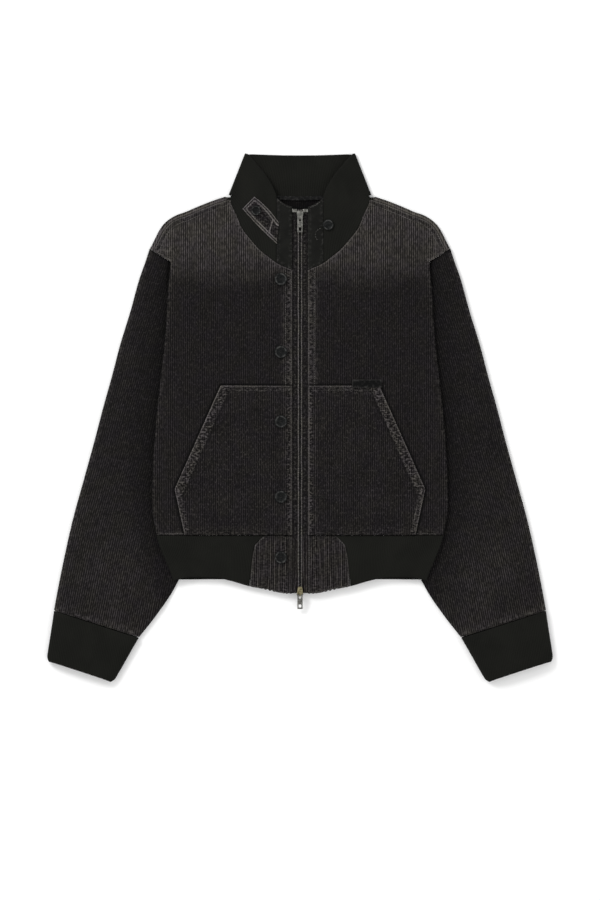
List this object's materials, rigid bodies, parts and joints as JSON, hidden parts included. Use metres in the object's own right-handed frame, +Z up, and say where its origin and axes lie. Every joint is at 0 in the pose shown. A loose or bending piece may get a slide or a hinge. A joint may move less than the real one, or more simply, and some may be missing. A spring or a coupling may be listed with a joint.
{
  "type": "denim jacket",
  "caption": "Cropped washed denim jacket lying flat, zip front, slanted patch pockets, rib-knit collar, cuffs and hem band.",
  "frame": {"origin": "middle of the box round the jacket, in the plane of the surface that it lies on", "axes": "+X to the picture's right (the wearer's left), +Y from the hem to the collar, +Z up from the surface"},
  "size_m": [0.702, 0.7368, 0.021],
  "materials": {
    "denim": "washed, matte, with fine vertical stripes",
    "rib_knit": "knitted rib, matte",
    "plain_cloth": "plain weave, matte",
    "tape_cloth": "woven tape, matte",
    "zip_metal": "plated and worn",
    "button_resin": "satin",
    "woven_tag": "woven, bare"
  },
  "bodies": {
    "jacket": {"back": "denim", "front_left": "denim", "front_right": "denim", "sleeve_top_left": "denim", "sleeve_top_right": "denim", "sleeve_under_left": "denim", "sleeve_under_right": "denim", "hem_tab_left": "denim", "hem_tab_right": "denim", "pocket_left": "denim", "pocket_right": "denim", "strap": "denim", "collar": "rib_knit", "cuff_left": "rib_knit", "cuff_right": "rib_knit", "hem_rib": "rib_knit", "collar_front_left": "plain_cloth", "collar_front_right": "plain_cloth", "zip_tape_left": "tape_cloth", "zip_tape_right": "tape_cloth", "neck_tape": "tape_cloth", "zip_chain": "zip_metal", "slider_top": "zip_metal", "slider_bottom": "zip_metal", "button_1": "button_resin", "button_2": "button_resin", "button_3": "button_resin", "button_4": "button_resin", "button_5": "button_resin", "button_collar": "button_resin", "button_strap": "button_resin", "label": "woven_tag"},
    "top_pull": {"pull_top": "zip_metal"},
    "bottom_pull": {"pull_bottom": "zip_metal"}
  },
  "joints": [
    {"name": "top_pull_hinge", "type": "hinge", "parent": "jacket", "child": "top_pull", "pos_m": [0, 0.2785, 0.01869], "axis": [-1, 0, 0], "range_deg": [0, 150]},
    {"name": "bottom_pull_hinge", "type": "hinge", "parent": "jacket", "child": "bottom_pull", "pos_m": [0, -0.2479, 0.01437], "axis": [-1, 0, 0], "range_deg": [0, 150]}
  ]
}
